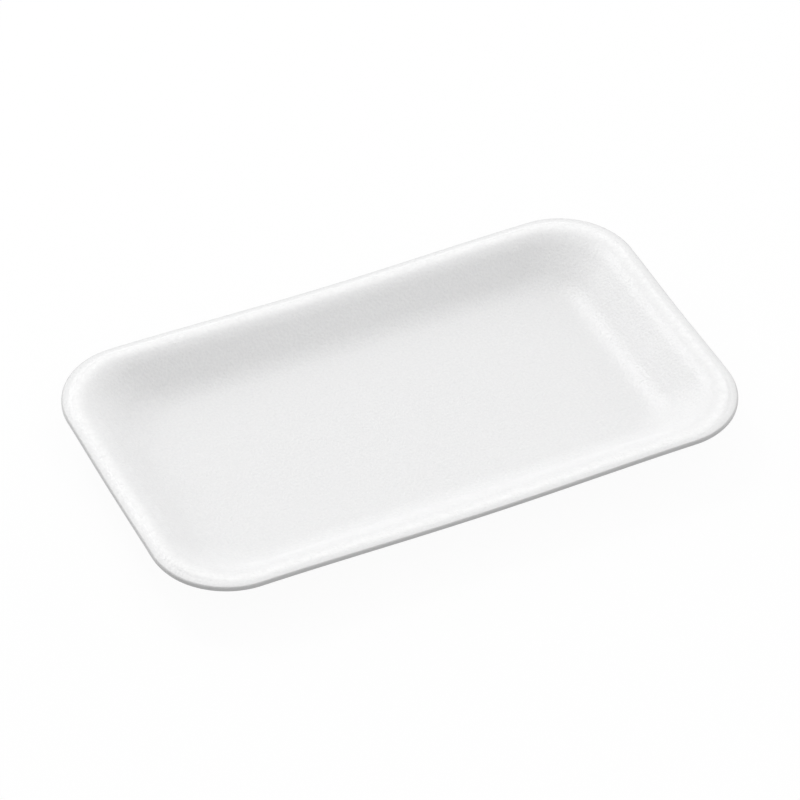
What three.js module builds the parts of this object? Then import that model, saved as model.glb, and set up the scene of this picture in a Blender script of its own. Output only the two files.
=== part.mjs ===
// A shallow foam food tray, thermoformed in one piece from a sheet of expanded polystyrene.
// Millimetres, +Z up. The origin is the middle of the underside, +X runs along the tray and +Y across it.
import * as THREE from "three";

// Overall size
const LENGTH = 211;
const WIDTH = 122;
const HEIGHT = 16.5;

// Plan corners: the rim's, and those of the inner floor
const RIM_CORNER_RADIUS = 26.5;
const FLOOR_CORNER_RADIUS = 12;

// Sheet thickness, pressed thinner at the lip than in the wall
const FLOOR_THICKNESS = 4.5;
const WALL_THICKNESS = 3.6;
const LIP_THICKNESS = 2.3;

// Lip: from the cut edge in to the crest, which stands a little higher than the edge
const LIP_WIDTH = 3.8;
const LIP_FALL = 0.5;
const CREST_WIDTH = 0.6;
const CREST_RADIUS = 3;
const EDGE_TOP_RADIUS = 0.9;
const EDGE_BOTTOM_RADIUS = 0.5;

// Wall: its slope from level, and the curves that join it to the lip and the floor
const WALL_SLOPE_DEG = 46;
const SHOULDER_RADIUS = 10;
const WELL_FILLET_RADIUS = 13;
const LIP_ROOT_RADIUS = 6;

// The end walls reach the floor this much further in than the long walls
const END_WALL_EASE = 4;

// The rim hangs a little lower midway along each side, where no corner stiffens it
const LONG_SIDE = { dip: 1.2, steps: 12 };
const SHORT_SIDE = { dip: 0.5, steps: 6 };

// Facets
const CORNER_STEPS = 14;
const CHORD_GAP = 0.02;
const MERGE_DISTANCE = 1e-3;

const FOAM = new THREE.MeshStandardMaterial({ color: 0xf4f4f3, roughness: 0.62, metalness: 0 });

// A profile through the given corners, each { x, y, r }, with its arcs tangent to both neighbours.
// A radius that its neighbours leave no room for is reduced until it fits.
function roundedProfile(corners) {
  const at = corners.map((c) => new THREE.Vector2(c.x, c.y));
  const reach = at.map((p, i) => {
    if (i === 0 || i === at.length - 1) return 0;
    return corners[i].r * Math.tan(turnAngle(at[i - 1], p, at[i + 1]) / 2);
  });
  const fits = at.map(() => 1);
  for (let i = 0; i + 1 < at.length; i++) {
    const room = at[i].distanceTo(at[i + 1]) / Math.max(reach[i] + reach[i + 1], 1e-9);
    fits[i] = Math.min(fits[i], room);
    fits[i + 1] = Math.min(fits[i + 1], room);
  }
  const path = new THREE.Path();
  path.moveTo(at[0].x, at[0].y);
  for (let i = 1; i + 1 < at.length; i++) {
    addArc(path, at[i - 1], at[i], at[i + 1], corners[i].r * Math.min(1, fits[i]));
  }
  path.lineTo(at.at(-1).x, at.at(-1).y);
  return path;
}

function turnAngle(before, here, after) {
  const arriving = here.clone().sub(before);
  const leaving = after.clone().sub(here);
  return Math.acos(THREE.MathUtils.clamp(arriving.dot(leaving) / (arriving.length() * leaving.length()), -1, 1));
}

function addArc(path, before, here, after, radius) {
  const arriving = here.clone().sub(before).normalize();
  const leaving = after.clone().sub(here).normalize();
  const turn = turnAngle(before, here, after);
  const left = arriving.cross(leaving) > 0;
  const start = here.clone().addScaledVector(arriving, -radius * Math.tan(turn / 2));
  const side = left ? 1 : -1;
  const toCentre = new THREE.Vector2(-arriving.y, arriving.x).multiplyScalar(side * radius);
  const centre = start.clone().add(toCentre);
  const from = Math.atan2(start.y - centre.y, start.x - centre.x);
  path.lineTo(start.x, start.y);
  path.absarc(centre.x, centre.y, radius, from, from + side * turn, !left);
}

// The section from the edge of the inner floor, up the wall, round the lip and down to the edge of the underside.
// x is the distance in from the cut edge, y the height.
function traySection() {
  const slope = THREE.MathUtils.degToRad(WALL_SLOPE_DEG);
  const edgeTop = HEIGHT - LIP_FALL;
  const edgeBottom = edgeTop - LIP_THICKNESS;
  const wallTop = LIP_WIDTH + CREST_WIDTH + SHOULDER_RADIUS * Math.tan(slope / 2);
  const wallFoot = wallTop + (HEIGHT - FLOOR_THICKNESS) / Math.tan(slope);
  const outerWallAt = (z) => wallTop - WALL_THICKNESS / Math.sin(slope) + (HEIGHT - z) / Math.tan(slope);
  const wellFillet = WELL_FILLET_RADIUS * Math.tan(slope / 2);
  const heel = outerWallAt(0);
  const heelFillet = (WELL_FILLET_RADIUS + WALL_THICKNESS) * Math.tan(slope / 2);
  return roundedProfile([
    { x: wallFoot + wellFillet, y: FLOOR_THICKNESS },
    { x: wallFoot, y: FLOOR_THICKNESS, r: WELL_FILLET_RADIUS },
    { x: wallTop, y: HEIGHT, r: SHOULDER_RADIUS },
    { x: LIP_WIDTH, y: HEIGHT, r: CREST_RADIUS },
    { x: 0, y: edgeTop, r: EDGE_TOP_RADIUS },
    { x: 0, y: edgeBottom, r: EDGE_BOTTOM_RADIUS },
    { x: outerWallAt(edgeBottom), y: edgeBottom, r: LIP_ROOT_RADIUS },
    { x: heel, y: 0, r: WELL_FILLET_RADIUS + WALL_THICKNESS },
    { x: heel + heelFillet, y: 0 },
  ]);
}

// The section's points in order, with each arc in even steps.
function sectionPoints(path) {
  const points = path.curves.flatMap((curve) => curve.getPoints(curve.isEllipseCurve ? arcSteps(curve) : 1));
  return points.filter((p, i) => i === 0 || p.distanceTo(points[i - 1]) > MERGE_DISTANCE);
}

function arcSteps(arc) {
  const step = 2 * Math.acos(1 - CHORD_GAP / arc.xRadius);
  return Math.max(2, Math.ceil(Math.abs(arc.aEndAngle - arc.aStartAngle) / step));
}

// One closed ring round the tray for one point of the section, a corner's arc and then the side after it, four times.
function ringAt(sectionPoint, wellEdge) {
  const radius = THREE.MathUtils.lerp(RIM_CORNER_RADIUS, FLOOR_CORNER_RADIUS, Math.min(1, sectionPoint.x / wellEdge));
  const ease = END_WALL_EASE * THREE.MathUtils.smoothstep(sectionPoint.x, 0, wellEdge);
  const x = LENGTH / 2 - sectionPoint.x - ease - radius;
  const y = WIDTH / 2 - sectionPoint.x - radius;
  const centres = [[x, y], [-x, y], [-x, -y], [x, -y]].map(([cx, cy]) => new THREE.Vector2(cx, cy));
  const raised = THREE.MathUtils.smoothstep(sectionPoint.y, FLOOR_THICKNESS, HEIGHT);
  return centres.flatMap((centre, i) => {
    const quarter = Math.PI / 2;
    const arc = new THREE.EllipseCurve(centre.x, centre.y, radius, radius, i * quarter, (i + 1) * quarter);
    const along = centres[(i + 1) % 4].clone().sub(centre);
    const side = i % 2 === 0 ? LONG_SIDE : SHORT_SIDE;
    return [...arc.getPoints(CORNER_STEPS), ...sidePoints(arc.getPoint(1), along, side.steps)].map((p, step) => {
      const t = Math.max(0, step - CORNER_STEPS) / side.steps;
      const dip = (side.dip * (1 - Math.cos(2 * Math.PI * t))) / 2;
      return new THREE.Vector3(p.x, p.y, sectionPoint.y - dip * raised);
    });
  });
}

function sidePoints(start, along, steps) {
  return Array.from({ length: steps - 1 }, (_, i) => start.clone().addScaledVector(along, (i + 1) / steps));
}

// A closed surface through rings of equal count, with each end filled by a fan from its middle.
function loft(rings) {
  const count = rings[0].length;
  const first = middleOf(rings[0]);
  const last = middleOf(rings.at(-1));
  const points = [...rings.flat(), first, last];
  const firstIndex = rings.length * count;
  const lastIndex = firstIndex + 1;
  const triangles = [];
  for (let i = 0; i < count; i++) {
    const next = (i + 1) % count;
    triangles.push(firstIndex, i, next);
    for (let ring = 0; ring + 1 < rings.length; ring++) {
      const a = ring * count;
      const b = a + count;
      triangles.push(a + i, b + i, b + next, a + i, b + next, a + next);
    }
    const end = (rings.length - 1) * count;
    triangles.push(lastIndex, end + next, end + i);
  }
  const geometry = new THREE.BufferGeometry().setFromPoints(points);
  geometry.setIndex(triangles);
  geometry.computeVertexNormals();
  return geometry;
}

function middleOf(ring) {
  return ring.reduce((sum, p) => sum.add(p), new THREE.Vector3()).divideScalar(ring.length);
}

function buildTray() {
  const points = sectionPoints(traySection());
  const wellEdge = points[0].x;
  const tray = new THREE.Mesh(loft(points.map((p) => ringAt(p, wellEdge))), FOAM);
  tray.name = "tray";
  return tray;
}

const group = new THREE.Group();
group.add(buildTray());

export default group;
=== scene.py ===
# A white foam food tray on a pale floor, seen from the front left and above. Metres, +Z up.
import math
import bpy
from mathutils import Matrix, Vector, noise


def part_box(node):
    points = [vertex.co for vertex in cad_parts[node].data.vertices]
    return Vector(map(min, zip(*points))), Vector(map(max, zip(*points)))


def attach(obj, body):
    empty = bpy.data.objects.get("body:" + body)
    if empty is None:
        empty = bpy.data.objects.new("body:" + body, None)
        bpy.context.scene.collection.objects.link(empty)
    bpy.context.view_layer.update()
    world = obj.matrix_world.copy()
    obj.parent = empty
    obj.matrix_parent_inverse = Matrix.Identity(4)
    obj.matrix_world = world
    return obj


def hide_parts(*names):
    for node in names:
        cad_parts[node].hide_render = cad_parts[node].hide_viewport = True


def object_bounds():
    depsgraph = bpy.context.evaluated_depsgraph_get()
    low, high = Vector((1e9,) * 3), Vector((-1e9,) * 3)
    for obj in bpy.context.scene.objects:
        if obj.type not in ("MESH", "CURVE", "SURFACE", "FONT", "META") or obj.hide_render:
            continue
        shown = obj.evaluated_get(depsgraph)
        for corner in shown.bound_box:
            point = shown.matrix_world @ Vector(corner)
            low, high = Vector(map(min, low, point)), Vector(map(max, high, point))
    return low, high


MM = 0.001
WHITE = (1, 1, 1, 1)

# Plan corners: the rim's, and those of the inner floor
RIM_CORNER_RADIUS = 26.5 * MM
FLOOR_CORNER_RADIUS = 12 * MM

# Sheet thickness
FLOOR_THICKNESS = 4.5 * MM
WALL_THICKNESS = 3.6 * MM
LIP_THICKNESS = 1.8 * MM

# Lip: a flat flange in from the cut edge, then a low bead that is the highest line of the tray
FLANGE_WIDTH = 2.1 * MM
FLANGE_RADIUS = 0.6 * MM
FLANGE_FALL = 0.1 * MM
LIP_WIDTH = 3.0 * MM
LIP_FALL = 0.4 * MM
CREST_WIDTH = 0.5 * MM
CREST_RADIUS = 1.4 * MM
EDGE_TOP_RADIUS = 0.6 * MM
EDGE_BOTTOM_RADIUS = 0.4 * MM

# Near side: its flange rises to the height of the bead, from this share of the half width outward
NEAR_LIFT_FROM = 0.75

# Wall: its slope from level, and the curves that join it to the lip and the floor
WALL_SLOPE = math.radians(44)
SHOULDER_RADIUS = 10 * MM
WELL_FILLET_RADIUS = 13 * MM
LIP_ROOT_RADIUS = 6 * MM

# The end walls reach the floor this much further in than the long walls
END_WALL_EASE = 4 * MM

# Pressed whiter foam with a painted highlight along the bead: how far in from the cut edge it is
# strongest, how far it reaches (the bead's waves too), and its share on the flange
BEAD_MIDDLE = 3.7 * MM
BEAD_REACH_OUT = 1.7 * MM
BEAD_REACH_IN = 3.6 * MM
FLANGE_PRESSED_AND_HIGHLIGHT = 0.3

# Cut edge: its painted shade fades out between these distances in from it
CUT_SHADE_START = 0.2 * MM
CUT_SHADE_END = 0.8 * MM

# The bead is a little uneven: how deep its waves are and how far apart
WAVE_DEPTH = 0.25 * MM
WAVE_SIZE = 2.2 * MM

# How far the rim hangs down midway along each side
LONG_SIDE_DIP = 1.3 * MM
SHORT_SIDE_DIP = 0.5 * MM

# Fineness of the visible mesh
CORNER_STEPS = 40
LONG_SIDE_STEPS = 150
SHORT_SIDE_STEPS = 66
ARC_STEP = math.radians(4)
FEWEST_ARC_STEPS = 3
STRAIGHT_STEP = 1.5 * MM
FLOOR_RING_SPACING = 6 * MM

# Rounding: the share of a straight step that counts as none, and a length that is safe to divide by
STEP_SLACK = 0.001
LEAST_LENGTH = 1e-9

# Foam skin: the size of its cells and of the grain over them, and how deep they print through
CELL_SIZE = 1.1 * MM
CELL_SOFTNESS = 0.6
GRAIN_SIZE = 0.9 * MM
GRAIN_DETAIL = 2
GRAIN_SHARE = 0.82
RELIEF_DEPTH = 0.24 * MM
SKIN_ROUGHNESS = (0.28, 0.38)
FOAM_IOR = 1.45

# Foam colour: the grain goes from shade to light between two of its own values
FOAM_SHADE = (0.812, 0.812, 0.817)
FOAM_LIGHT = (0.852, 0.852, 0.852)
GRAIN_RANGE = (0.3, 0.7)
# Whiter pressed foam along the bead, which is also a painted highlight on the crest and a painted
# brightening of the flange
PRESSED_FOAM_AND_HIGHLIGHT = (0.95, 0.95, 0.95)
# Painted shade: the cut edge drawn darker grey
CUT_SHADE = (0.62, 0.62, 0.62)

# Patches where the pressed foam's whitening and its painted highlight are weaker: their size, their edges
# in the noise, and the share kept there
PATCH_SIZE = 1.6 * MM
PATCH_DETAIL = 1
PATCH_RANGE = (0.35, 0.6)
PATCH_KEPT = 0.65

# Camera: the photograph's viewing angle, distance and lens
CAMERA_AZIMUTH = math.radians(-27.38)
CAMERA_ELEVATION = math.radians(42.87)
CAMERA_ROLL = math.radians(2.0)
CAMERA_DISTANCE = 1.46
CAMERA_LENS_MM = 197.3
CAMERA_SENSOR_MM = 36
CAMERA_CLIP = (0.1, 20)
CAMERA_AIM = Vector((-0.2, 0.1, -3.0)) * MM

# Studio lights: name, azimuth and elevation in degrees, width in metres, watts
LIGHT_DISTANCE = 1.6
LIGHTS = [
    ("low_right", 100, 12, 1.0, 4.0),
    ("low_back_right", 135, 12, 1.0, 2.2),
    ("low_back", 195, 12, 1.0, 3.8),
    ("low_back_left", 225, 12, 1.0, 4.6),
    ("low_left", 260, 12, 1.0, 0.6),
    ("front", 0, 35, 1.0, 2.8),
    ("back", 195, 35, 1.0, 0.9),
    ("back_left", 225, 35, 1.0, 1.8),
    ("window", 190, 48, 0.5, 5.8),
    ("high_front", 0, 62, 1.0, 2.6),
    ("high_right", 60, 62, 1.0, 0.6),
    ("high_back_right", 120, 62, 1.0, 3.1),
]
WORLD_STRENGTH = 0.42

# The one light that shows as a highlight in the skin
GLOSSY_LIGHT = "window"

# Floor: its own colour under the lamps, and the glow that makes it white where the camera sees it
FLOOR_REACH = 4
FLOOR_COLOUR = (0.5, 0.5, 0.5)
FLOOR_ROUGHNESS = 0.9
FLOOR_GLOW = 1.05
FLOOR_GLOW_SHARE = 0.9


def turn_between(before, here, after):
    return (here - before).angle(after - here)


def rounded_profile(corners):
    """Points along a profile of (x, y, radius) corners, each rounded as far as there is room."""
    at = [Vector((x, y)) for x, y, _ in corners]
    reach = [0.0] * len(at)
    for i in range(1, len(at) - 1):
        reach[i] = corners[i][2] * math.tan(turn_between(at[i - 1], at[i], at[i + 1]) / 2)
    fit = [1.0] * len(at)
    for i in range(len(at) - 1):
        room = (at[i + 1] - at[i]).length / max(reach[i] + reach[i + 1], LEAST_LENGTH)
        fit[i] = min(fit[i], room)
        fit[i + 1] = min(fit[i + 1], room)
    points = [at[0]]
    for i in range(1, len(at) - 1):
        arc = corner_arc(at[i - 1], at[i], at[i + 1], corners[i][2] * fit[i])
        points += straight(points[-1], arc[0]) + arc[1:]
    return points + straight(points[-1], at[-1])


def corner_arc(before, here, after, radius):
    """Points along the arc that rounds a corner and is tangent to both of its sides."""
    arriving = (here - before).normalized()
    turn = turn_between(before, here, after)
    side = 1 if arriving.cross(after - here) > 0 else -1
    start = here - arriving * radius * math.tan(turn / 2)
    centre = start + Vector((-arriving.y, arriving.x)) * side * radius
    steps = max(FEWEST_ARC_STEPS, math.ceil(turn / ARC_STEP))
    heading = math.atan2(start.y - centre.y, start.x - centre.x)
    angles = [heading + side * turn * i / steps for i in range(steps + 1)]
    return [centre + radius * Vector((math.cos(angle), math.sin(angle))) for angle in angles]


def straight(start, end):
    """Evenly spaced points after the start, none where the two ends meet."""
    steps = math.ceil((end - start).length / STRAIGHT_STEP - STEP_SLACK)
    return [start.lerp(end, i / steps) for i in range(1, steps + 1)]


def tray_section(height):
    """The section's points, from the edge of the inner floor over the lip to the edge of the underside.

    x is the distance in from the cut edge, y the height.
    """
    edge_top = height - LIP_FALL
    edge_bottom = edge_top - FLANGE_FALL - LIP_THICKNESS
    wall_top = LIP_WIDTH + CREST_WIDTH + SHOULDER_RADIUS * math.tan(WALL_SLOPE / 2)
    wall_foot = wall_top + (height - FLOOR_THICKNESS) / math.tan(WALL_SLOPE)
    outer_top = wall_top - WALL_THICKNESS / math.sin(WALL_SLOPE)
    outer_at_edge = outer_top + (height - edge_bottom) / math.tan(WALL_SLOPE)
    heel = outer_top + height / math.tan(WALL_SLOPE)
    heel_radius = WELL_FILLET_RADIUS + WALL_THICKNESS
    return rounded_profile([
        (wall_foot + WELL_FILLET_RADIUS * math.tan(WALL_SLOPE / 2), FLOOR_THICKNESS, 0),
        (wall_foot, FLOOR_THICKNESS, WELL_FILLET_RADIUS),
        (wall_top, height, SHOULDER_RADIUS),
        (LIP_WIDTH, height, CREST_RADIUS),
        (FLANGE_WIDTH, edge_top, FLANGE_RADIUS),
        (0, edge_top - FLANGE_FALL, EDGE_TOP_RADIUS),
        (0, edge_bottom, EDGE_BOTTOM_RADIUS),
        (outer_at_edge, edge_bottom, LIP_ROOT_RADIUS),
        (heel, 0, heel_radius),
        (heel + heel_radius * math.tan(WALL_SLOPE / 2), 0, 0),
    ])


def smoothstep(t):
    return t * t * (3 - 2 * t)


def bead_share(p, height):
    """How near a point of the section is to the crest: 1 there, 0 far from it and under the flange."""
    on_top = p.y > height - LIP_FALL - EDGE_TOP_RADIUS or p.x > BEAD_MIDDLE
    reach = BEAD_REACH_OUT if p.x < BEAD_MIDDLE else BEAD_REACH_IN
    near = max(0, 1 - abs(p.x - BEAD_MIDDLE) / reach)
    return smoothstep(near) if on_top else 0


def pressed_and_highlight_share(p, height):
    """How much pressed whiter foam and painted highlight a point of the section gets: most at the crest,
    less on the flange.
    """
    flange = FLANGE_PRESSED_AND_HIGHLIGHT if p.x < BEAD_MIDDLE else 0
    return max(bead_share(p, height), flange)


def cut_shade_share(p):
    """How much painted shade a point gets: 1 on the cut edge, 0 a little further in."""
    return 1 - smoothstep(min(1, max(0, p.x - CUT_SHADE_START) / (CUT_SHADE_END - CUT_SHADE_START)))


def on_corner(centre, radius, quarter_turns, height):
    """The point of a corner's arc that is so many quarter turns on from +X."""
    angle = quarter_turns * math.pi / 2
    return Vector((centre[0] + radius * math.cos(angle), centre[1] + radius * math.sin(angle), height))


def along_side(start, along, steps, dip):
    """Points from the start of a side to just before its end, lowered by the dip midway."""
    points = []
    for step in range(steps):
        t = step / steps
        sag = dip * (1 - math.cos(2 * math.pi * t)) / 2
        points.append(start + Vector((along[0] * t, along[1] * t, -sag)))
    return points


def ring(half_length, half_width, radius, height, sag_share):
    """A rounded rectangle's points at one height, lowered a little midway along its sides."""
    x, y = half_length - radius, half_width - radius
    centres = [(x, y), (-x, y), (-x, -y), (x, -y)]
    sides = [(LONG_SIDE_STEPS, LONG_SIDE_DIP), (SHORT_SIDE_STEPS, SHORT_SIDE_DIP)]
    points = []
    for i, centre in enumerate(centres):
        turns = [i + step / CORNER_STEPS for step in range(CORNER_STEPS)]
        points += [on_corner(centre, radius, turn, height) for turn in turns]
        following = centres[(i + 1) % 4]
        along = (following[0] - centre[0], following[1] - centre[1])
        steps, dip = sides[i % 2]
        points += along_side(on_corner(centre, radius, i + 1, height), along, steps, dip * sag_share)
    return points


def lifted(points, inset, half_width):
    """The points with the near side's flange raised to the height of the bead."""
    beyond = min(1, max(0, inset - FLANGE_WIDTH) / (LIP_WIDTH - FLANGE_WIDTH))
    lift = LIP_FALL * (1 - smoothstep(beyond))
    shares = [max(0, -p.y / half_width - NEAR_LIFT_FROM) / (1 - NEAR_LIFT_FROM) for p in points]
    return [p + Vector((0, 0, lift * smoothstep(share))) for p, share in zip(points, shares)]


def waved(points, share):
    """The points with small uneven dips, none where the share is 0."""
    dips = [WAVE_DEPTH * share * (1 + noise.noise(p / WAVE_SIZE)) / 2 for p in points]
    return [p - Vector((0, 0, dip)) for p, dip in zip(points, dips)]


def tray_ring(p, well_edge, size):
    """The ring round the tray for one point of the section."""
    inward = min(1, p.x / well_edge)
    radius = RIM_CORNER_RADIUS + (FLOOR_CORNER_RADIUS - RIM_CORNER_RADIUS) * inward
    sag_share = smoothstep(max(0, p.y - FLOOR_THICKNESS) / (size.z - FLOOR_THICKNESS))
    half_length = size.x / 2 - p.x - END_WALL_EASE * smoothstep(inward)
    points = ring(half_length, size.y / 2 - p.x, radius, p.y, sag_share)
    return waved(lifted(points, p.x, size.y / 2), bead_share(p, size.z))


def fill_shares(half_width):
    """How large the rings that fill a flat end are, as shares of its edge, outermost first."""
    count = max(1, round(half_width / FLOOR_RING_SPACING))
    return [1 - i / count for i in range(1, count)]


def shrunk(points, share):
    return [Vector((p.x * share, p.y * share, p.z)) for p in points]


def make_tray():
    low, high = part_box("tray")
    size = high - low
    section = tray_section(size.z)
    well_edge = section[0].x
    rings = [tray_ring(p, well_edge, size) for p in section]
    shares = fill_shares(size.y / 2 - well_edge)
    inner = [shrunk(rings[0], share) for share in reversed(shares)]
    outer = [shrunk(rings[-1], share) for share in shares]
    tray = loft_object("tray_foam", inner + rings + outer)
    pad = [0.0] * len(shares)
    # Pressed whiter foam and its painted highlight: how much of it each ring gets
    pressed_and_highlight = [pressed_and_highlight_share(p, size.z) for p in section]
    # Painted shade on the cut edge: how much of it each ring gets
    cut_shade = [cut_shade_share(p) for p in section]
    add_ring_values(tray, "pressed_and_highlight", pad + pressed_and_highlight + pad, len(rings[0]))
    add_ring_values(tray, "cut_shade", pad + cut_shade + pad, len(rings[0]))
    return tray


def loft_object(name, rings):
    """A closed, smooth-shaded mesh through rings of equal count, with a fan over each end."""
    count = len(rings[0])
    points = [p for r in rings for p in r]
    first = len(points)
    last = first + 1
    points += [Vector((0, 0, rings[0][0].z)), Vector((0, 0, rings[-1][0].z))]
    faces = []
    for i in range(count):
        j = (i + 1) % count
        faces.append((first, i, j))
        for r in range(len(rings) - 1):
            a, b = r * count, (r + 1) * count
            faces.append((a + i, b + i, b + j, a + j))
        end = (len(rings) - 1) * count
        faces.append((last, end + j, end + i))
    return mesh_object(name, points, faces)


def mesh_object(name, points, faces):
    mesh = bpy.data.meshes.new(name)
    mesh.from_pydata(points, [], faces)
    mesh.shade_smooth()
    piece = bpy.data.objects.new(name, mesh)
    bpy.context.collection.objects.link(piece)
    return piece


def add_ring_values(piece, name, values, count):
    """Stores one number for each ring of a loft on all of its points, for the material to read."""
    spread = [value for value in values for _ in range(count)]
    ends = [values[0], values[-1]]
    piece.data.attributes.new(name, "FLOAT", "POINT").data.foreach_set("value", spread + ends)


def ring_value(nodes, name):
    value = nodes.new("ShaderNodeAttribute")
    value.attribute_name = name
    return value.outputs["Fac"]


def noise_value(nodes, links, place, size, detail):
    """Soft noise from 0 to 1, fixed to the piece, with marks of about the given size."""
    texture = nodes.new("ShaderNodeTexNoise")
    texture.inputs["Scale"].default_value = 1 / size
    texture.inputs["Detail"].default_value = detail
    links.new(place, texture.inputs["Vector"])
    return texture.outputs["Fac"]


def cell_value(nodes, links, place):
    """The distance to the middle of the nearest cell, smoothed where cells meet."""
    texture = nodes.new("ShaderNodeTexVoronoi")
    texture.feature = "SMOOTH_F1"
    texture.inputs["Scale"].default_value = 1 / CELL_SIZE
    texture.inputs["Smoothness"].default_value = CELL_SOFTNESS
    links.new(place, texture.inputs["Vector"])
    return texture.outputs["Distance"]


def map_range(nodes, links, value, source, target):
    """The value, with the range source stretched over the range target and nothing beyond it."""
    remap = nodes.new("ShaderNodeMapRange")
    for name, number in zip(("From Min", "From Max", "To Min", "To Max"), (*source, *target)):
        remap.inputs[name].default_value = number
    links.new(value, remap.inputs["Value"])
    return remap.outputs["Result"]


def combined(nodes, links, operation, first, second):
    """Two values joined by one step of arithmetic."""
    step = nodes.new("ShaderNodeMath")
    step.operation = operation
    links.new(first, step.inputs[0])
    links.new(second, step.inputs[1])
    return step.outputs["Value"]


def blended(nodes, links, share, below, colour):
    """A colour that goes from the one below to a plain one as share goes from 0 to 1."""
    mix = nodes.new("ShaderNodeMix")
    mix.data_type = "RGBA"
    mix.inputs["B"].default_value = (*colour, 1)
    links.new(share, mix.inputs["Factor"])
    links.new(below, mix.inputs["A"])
    return mix.outputs["Result"]


def patchy(nodes, links, place, share):
    """The share, taken down here and there in small patches."""
    patches = noise_value(nodes, links, place, PATCH_SIZE, PATCH_DETAIL)
    kept = map_range(nodes, links, patches, PATCH_RANGE, (PATCH_KEPT, 1))
    return combined(nodes, links, "MULTIPLY", kept, share)


def foam_colour(nodes, links, place, grain):
    """White mottled by the grain, whiter where the sheet is pressed and along the crest as a painted
    highlight, and greyer on the cut edge as painted shade.
    """
    mottle = nodes.new("ShaderNodeMix")
    mottle.data_type = "RGBA"
    mottle.inputs["A"].default_value = (*FOAM_SHADE, 1)
    mottle.inputs["B"].default_value = (*FOAM_LIGHT, 1)
    links.new(map_range(nodes, links, grain, GRAIN_RANGE, (0, 1)), mottle.inputs["Factor"])
    # Pressed whiter foam, also a painted highlight along the crest
    pressed_and_highlight = patchy(nodes, links, place, ring_value(nodes, "pressed_and_highlight"))
    skin = blended(nodes, links, pressed_and_highlight, mottle.outputs["Result"], PRESSED_FOAM_AND_HIGHLIGHT)
    # Painted shade on the cut edge
    return blended(nodes, links, ring_value(nodes, "cut_shade"), skin, CUT_SHADE)


def foam_relief(nodes, links, cells, grain):
    """The small relief of the skin: mostly grain, with a little of the cells under it."""
    height = nodes.new("ShaderNodeMix")
    height.inputs["Factor"].default_value = GRAIN_SHARE
    links.new(cells, height.inputs["A"])
    links.new(grain, height.inputs["B"])
    bump = nodes.new("ShaderNodeBump")
    bump.inputs["Strength"].default_value = 1
    bump.inputs["Distance"].default_value = RELIEF_DEPTH
    links.new(height.outputs["Result"], bump.inputs["Height"])
    return bump.outputs["Normal"]


def foam_material():
    """White foam: a smooth skin over small closed cells, which mottle its tone and its surface."""
    material = bpy.data.materials.new("white_foam")
    material.use_nodes = True
    nodes, links = material.node_tree.nodes, material.node_tree.links
    place = nodes.new("ShaderNodeTexCoord").outputs["Object"]
    cells = cell_value(nodes, links, place)
    grain = noise_value(nodes, links, place, GRAIN_SIZE, GRAIN_DETAIL)
    shader = nodes["Principled BSDF"]
    shader.inputs["IOR"].default_value = FOAM_IOR
    links.new(foam_colour(nodes, links, place, grain), shader.inputs["Base Color"])
    links.new(map_range(nodes, links, cells, (0, 1), SKIN_ROUGHNESS), shader.inputs["Roughness"])
    links.new(foam_relief(nodes, links, cells, grain), shader.inputs["Normal"])
    return material


def direction(azimuth, elevation):
    """The way from the object to a light or camera: azimuth 0 is in front, along -Y."""
    level = math.cos(elevation)
    return Vector((math.sin(azimuth) * level, -math.cos(azimuth) * level, math.sin(elevation)))


def looking_at(aim, back, distance, roll=0):
    """The place of a light or camera that looks at aim from the direction back."""
    turned = (-back).to_track_quat("-Z", "Y").to_matrix() @ Matrix.Rotation(roll, 3, "Z")
    return Matrix.Translation(aim + back * distance) @ turned.to_4x4()


def add_camera(aim):
    data = bpy.data.cameras.new("camera")
    data.lens = CAMERA_LENS_MM
    data.sensor_width = CAMERA_SENSOR_MM
    data.clip_start, data.clip_end = CAMERA_CLIP
    camera = bpy.data.objects.new("camera", data)
    back = direction(CAMERA_AZIMUTH, CAMERA_ELEVATION)
    camera.matrix_world = looking_at(aim, back, CAMERA_DISTANCE, CAMERA_ROLL)
    bpy.context.collection.objects.link(camera)
    bpy.context.scene.camera = camera


def add_light(aim, name, azimuth, elevation, width, watts):
    data = bpy.data.lights.new(name, "AREA")
    data.shape = "DISK"
    data.size = width
    data.energy = watts
    light = bpy.data.objects.new(name, data)
    light.visible_glossy = name == GLOSSY_LIGHT
    back = direction(math.radians(azimuth), math.radians(elevation))
    light.matrix_world = looking_at(aim, back, LIGHT_DISTANCE)
    bpy.context.collection.objects.link(light)


def seen_directly(nodes, links):
    """1 for what the camera sees, also by reflection or through clear things, and 0 for other light."""
    rays = nodes.new("ShaderNodeLightPath").outputs
    share = combined(nodes, links, "MAXIMUM", rays["Is Camera Ray"], rays["Is Glossy Ray"])
    return combined(nodes, links, "MAXIMUM", share, rays["Is Transmission Ray"])


def mixed_shaders(nodes, links, share, first, second):
    """A shader that goes from the first to the second as share goes from 0 to 1."""
    mix = nodes.new("ShaderNodeMixShader")
    links.new(share, mix.inputs["Fac"])
    links.new(first, mix.inputs[1])
    links.new(second, mix.inputs[2])
    return mix.outputs["Shader"]


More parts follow.
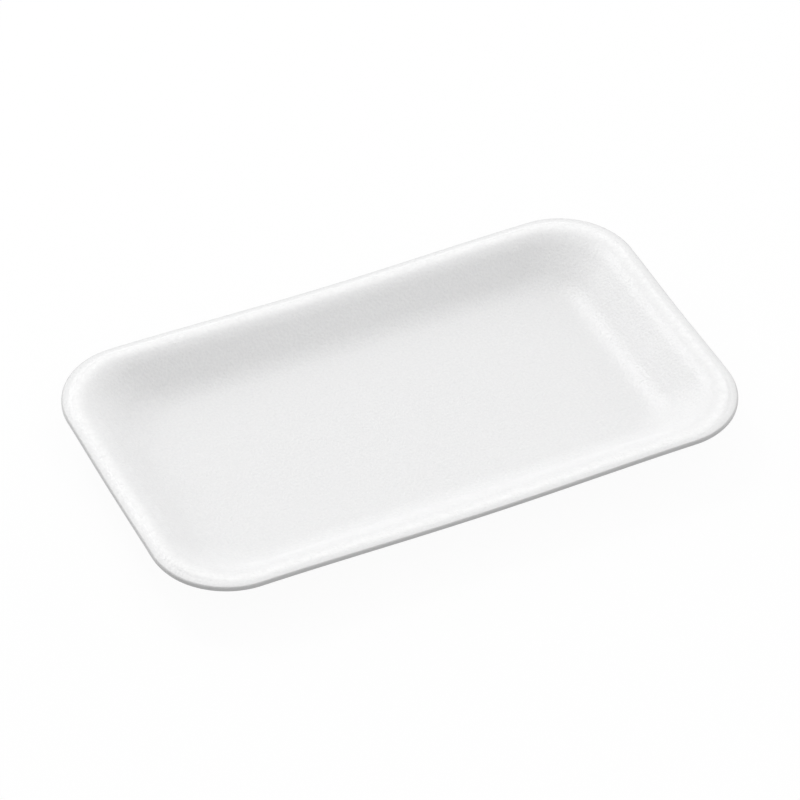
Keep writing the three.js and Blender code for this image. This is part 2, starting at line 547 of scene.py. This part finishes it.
def floor_material():
    """A pale floor that shows white to the camera and keeps a soft shadow."""
    material = bpy.data.materials.new("pale_floor")
    material.use_nodes = True
    nodes, links = material.node_tree.nodes, material.node_tree.links
    shader = nodes["Principled BSDF"]
    shader.inputs["Base Color"].default_value = (*FLOOR_COLOUR, 1)
    shader.inputs["Roughness"].default_value = FLOOR_ROUGHNESS
    glow = nodes.new("ShaderNodeEmission")
    glow.inputs["Strength"].default_value = FLOOR_GLOW
    share = nodes.new("ShaderNodeMath")
    share.operation = "MULTIPLY"
    share.inputs[1].default_value = FLOOR_GLOW_SHARE
    links.new(seen_directly(nodes, links), share.inputs[0])
    plain, glowing = shader.outputs["BSDF"], glow.outputs["Emission"]
    mix = mixed_shaders(nodes, links, share.outputs["Value"], plain, glowing)
    links.new(mix, nodes["Material Output"].inputs["Surface"])
    return material


def add_floor():
    mesh = bpy.data.meshes.new("floor")
    corners = [(x * FLOOR_REACH, y * FLOOR_REACH, 0) for x, y in ((-1, -1), (1, -1), (1, 1), (-1, 1))]
    mesh.from_pydata(corners, [], [(0, 1, 2, 3)])
    floor = bpy.data.objects.new("floor", mesh)
    floor.data.materials.append(floor_material())
    bpy.context.collection.objects.link(floor)


def add_world():
    """An even world: soft light on the object, and plain white wherever the camera sees it."""
    world = bpy.data.worlds.new("studio")
    world.use_nodes = True
    nodes, links = world.node_tree.nodes, world.node_tree.links
    soft = nodes["Background"]
    soft.inputs["Color"].default_value = WHITE
    soft.inputs["Strength"].default_value = WORLD_STRENGTH
    plain = nodes.new("ShaderNodeBackground")
    plain.inputs["Color"].default_value = WHITE
    plain.inputs["Strength"].default_value = 1
    share = seen_directly(nodes, links)
    mix = mixed_shaders(nodes, links, share, soft.outputs["Background"], plain.outputs["Background"])
    links.new(mix, nodes["World Output"].inputs["Surface"])
    bpy.context.scene.world = world


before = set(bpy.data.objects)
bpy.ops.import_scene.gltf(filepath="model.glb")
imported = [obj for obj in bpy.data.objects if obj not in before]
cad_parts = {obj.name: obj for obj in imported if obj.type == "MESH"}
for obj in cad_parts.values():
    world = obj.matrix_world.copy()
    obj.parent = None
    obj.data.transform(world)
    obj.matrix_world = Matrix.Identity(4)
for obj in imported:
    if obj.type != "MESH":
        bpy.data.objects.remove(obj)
cad_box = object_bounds()

tray = make_tray()
tray.data.materials.append(foam_material())
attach(tray, "root")
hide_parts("tray")

rim_middle = Vector((0, 0, cad_box[1].z))
add_camera(rim_middle + CAMERA_AIM)
for light in LIGHTS:
    add_light(rim_middle, *light)
add_floor()
add_world()
bpy.context.scene.view_settings.view_transform = "Standard"
